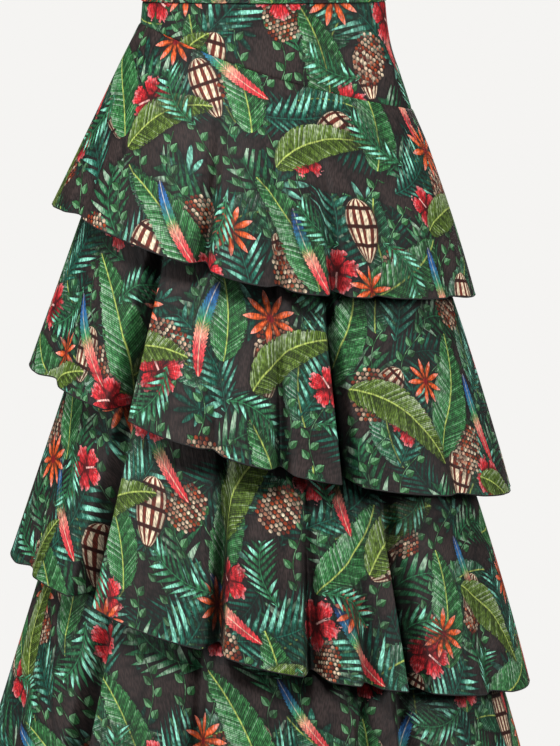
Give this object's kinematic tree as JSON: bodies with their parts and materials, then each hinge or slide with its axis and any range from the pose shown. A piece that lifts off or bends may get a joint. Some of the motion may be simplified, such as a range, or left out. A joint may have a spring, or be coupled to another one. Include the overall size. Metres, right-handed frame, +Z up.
{
  "type": "maxi skirt",
  "caption": "Worn hollow maxi skirt: a fitted hip yoke with a concealed side zip over slanted tiers of softly folded flounces.",
  "frame": {"origin": "centre of the waist opening, at the waistband's top edge", "axes": "+Z up through the waist, -Y the wearer's front, +X the wearer's left, where the zip is"},
  "size_m": [0.6246, 0.5673, 0.9991],
  "materials": {
    "printed_cloth": "soft sheen, dark tropical leaf print",
    "underskirt_cloth": "plain matt weave",
    "zip_tape_cloth": "matt woven tape",
    "dark_metal": "satin"
  },
  "bodies": {
    "skirt": {"waistband_front": "printed_cloth", "waistband_back": "printed_cloth", "yoke_front": "printed_cloth", "yoke_back": "printed_cloth", "flounce_1_front": "printed_cloth", "flounce_1_back": "printed_cloth", "flounce_2_front": "printed_cloth", "flounce_2_back": "printed_cloth", "flounce_3_front": "printed_cloth", "flounce_3_back": "printed_cloth", "flounce_4_front": "printed_cloth", "flounce_4_back": "printed_cloth", "underskirt_front": "underskirt_cloth", "underskirt_back": "underskirt_cloth", "zip_tape": "zip_tape_cloth", "zip_slider": "dark_metal"},
    "zip_pull": {"zip_pull": "dark_metal"}
  },
  "joints": [
    {"name": "zip_pull_swing", "type": "hinge", "parent": "skirt", "child": "zip_pull", "pos_m": [0.13535, 0, -0.0067], "axis": [0, -1, 0], "range_deg": [-2, 170]}
  ]
}
